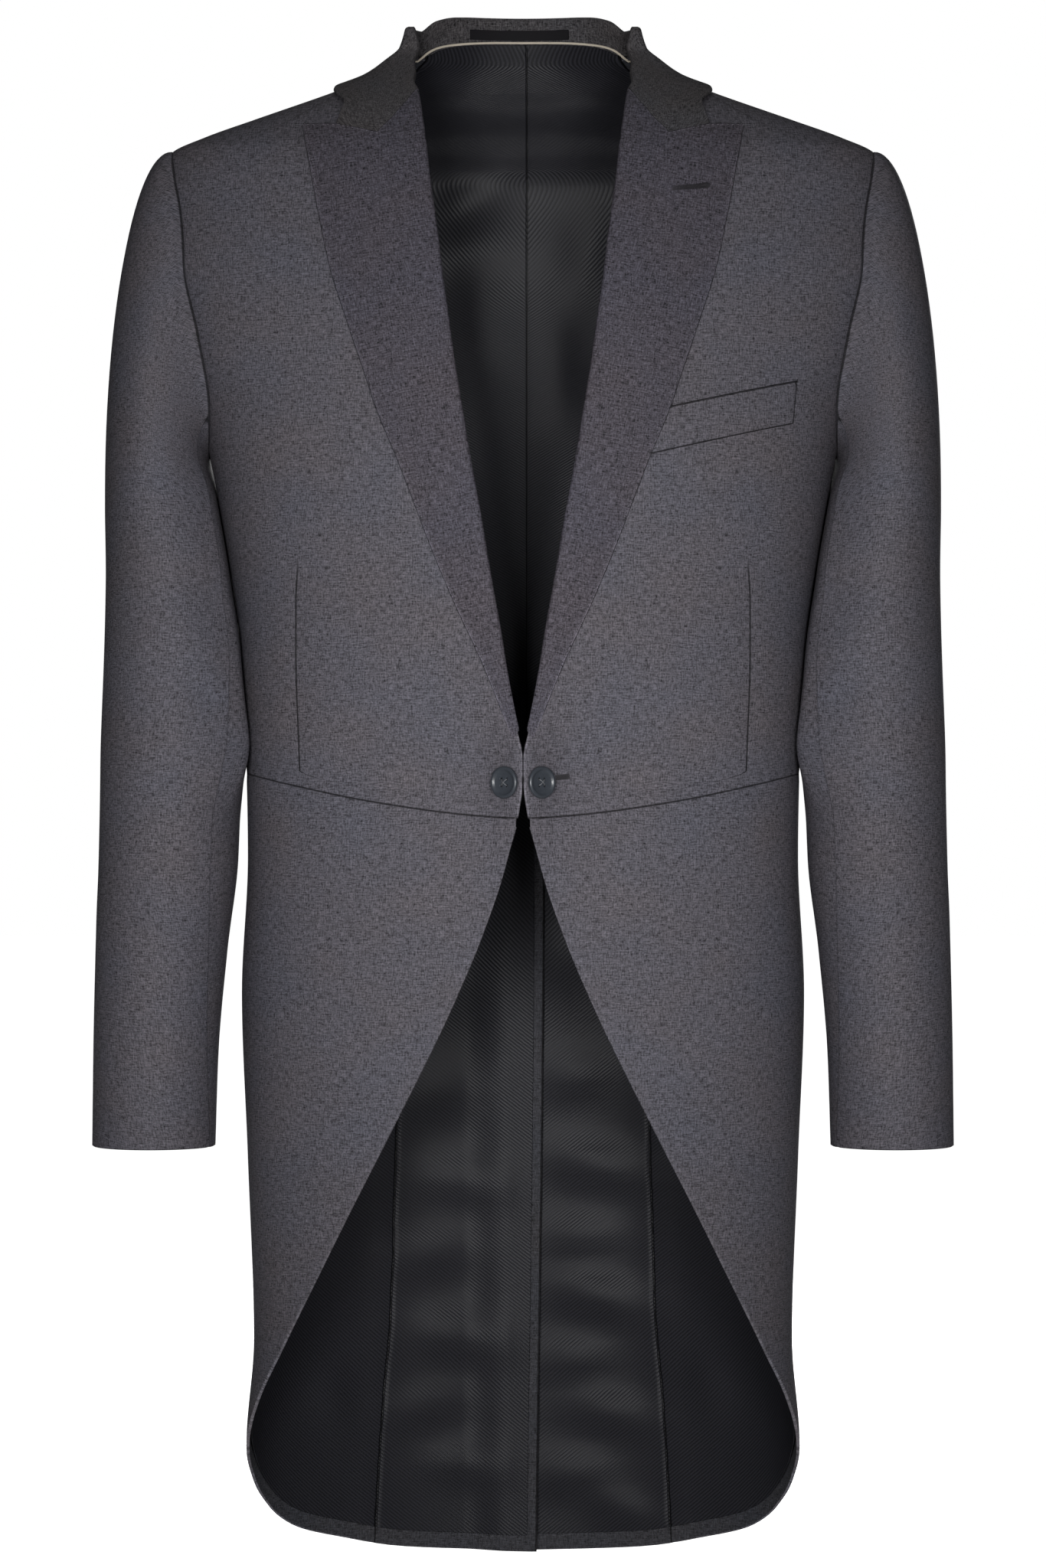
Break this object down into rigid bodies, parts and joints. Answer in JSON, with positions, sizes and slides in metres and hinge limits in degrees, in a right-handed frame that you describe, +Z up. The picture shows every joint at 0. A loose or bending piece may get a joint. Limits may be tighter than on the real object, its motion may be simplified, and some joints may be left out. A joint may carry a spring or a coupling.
{
  "type": "morning coat",
  "caption": "Grey peak-lapel cutaway morning coat, filled out as worn and hollow, with dark collar, dark lined tails, breast welt pocket and link-button front.",
  "frame": {"origin": "between the neck points, where the wearer's neck and shoulders hold the coat", "axes": "+X to the wearer's left, +Y from the front to the back, +Z up"},
  "size_m": [0.5668, 0.2589, 1.0434],
  "materials": {
    "worsted": "matt pick-and-pick worsted",
    "lapel": "matt worsted facing",
    "collar": "matt dark worsted",
    "lining": "soft sheen",
    "piping": "matt",
    "label": "plain, blank",
    "button": "satin"
  },
  "bodies": {
    "root": {"forepart_left": "worsted", "forepart_right": "worsted", "side_body_left": "worsted", "side_body_right": "worsted", "skirt_left": "worsted", "skirt_right": "worsted", "back_left": "worsted", "back_right": "worsted", "topsleeve_left": "worsted", "topsleeve_right": "worsted", "undersleeve_left": "worsted", "undersleeve_right": "worsted", "lapel_left": "lapel", "lapel_right": "lapel", "back_lining_left": "lining", "back_lining_right": "lining", "skirt_lining_left": "lining", "skirt_lining_right": "lining", "button_left": "button", "button_right": "button", "collar": "collar", "welt_pocket": "worsted", "neck_piping": "piping", "neck_label": "label"}
  },
  "joints": []
}
